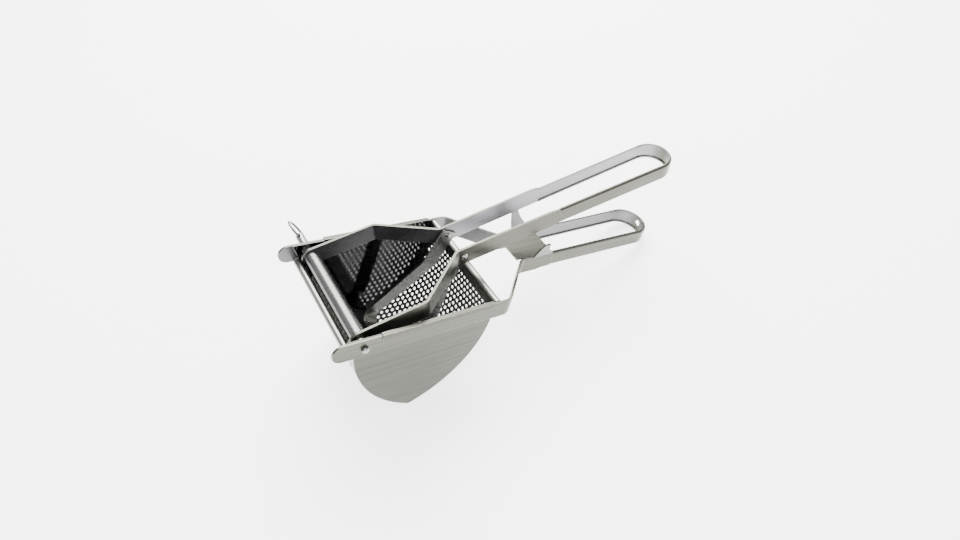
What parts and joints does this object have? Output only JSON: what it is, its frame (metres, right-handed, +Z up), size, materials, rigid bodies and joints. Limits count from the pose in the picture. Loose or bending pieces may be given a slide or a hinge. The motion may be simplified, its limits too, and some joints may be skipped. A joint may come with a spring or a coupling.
{
  "type": "potato ricer",
  "caption": "Steel potato ricer: a V-shaped perforated hopper between two long strap levers, with a hinged pressing plate on a braced arm and a pull-out hinge pin.",
  "frame": {"origin": "centre of the bounding box on the ground plane, with the V of the hopper and the end of the lower loop standing on Z = 0", "axes": "+X from the hinge towards the handles, +Y across towards the pull ring, +Z up"},
  "size_m": [0.3116, 0.1334, 0.1025],
  "materials": {
    "satin_strap": "satin",
    "satin_sheet": "satin",
    "press_steel": "satin",
    "bright_steel": "polished"
  },
  "bodies": {
    "frame": {"frame_arm_near": "satin_strap", "frame_arm_far": "satin_strap", "frame_grip_near": "satin_strap", "frame_grip_far": "satin_strap", "frame_loop": "satin_strap", "guard_plate": "satin_strap", "hopper_side_near": "satin_sheet", "hopper_side_far": "satin_sheet", "hopper_front_wall": "satin_sheet", "hopper_rear_wall": "satin_sheet", "hinge_spacer_near": "bright_steel", "hinge_spacer_far": "bright_steel"},
    "lever": {"lever_arm_near": "satin_strap", "lever_arm_far": "satin_strap", "lever_grip_near": "satin_strap", "lever_grip_far": "satin_strap", "lever_loop": "satin_strap", "pressing_plate": "press_steel", "press_brace": "press_steel", "brace_rivets": "bright_steel"},
    "pin": {"hinge_pin": "bright_steel"},
    "ring": {"pin_ring": "bright_steel"}
  },
  "joints": [
    {"name": "lever_hinge", "type": "hinge", "parent": "frame", "child": "lever", "pos_m": [-0.13477, -0.01409, 0.09095], "axis": [0, -1, 0], "range_deg": [0, 100]},
    {"name": "pin_pull", "type": "slide", "parent": "frame", "child": "pin", "axis": [0, 1, 0], "range_m": [0, 0.105]},
    {"name": "ring_swing", "type": "hinge", "parent": "pin", "child": "ring", "pos_m": [-0.13477, 0.04892, 0.09095], "axis": [-0.3705, 0, 0.9288], "range_deg": [-90, 90]}
  ]
}
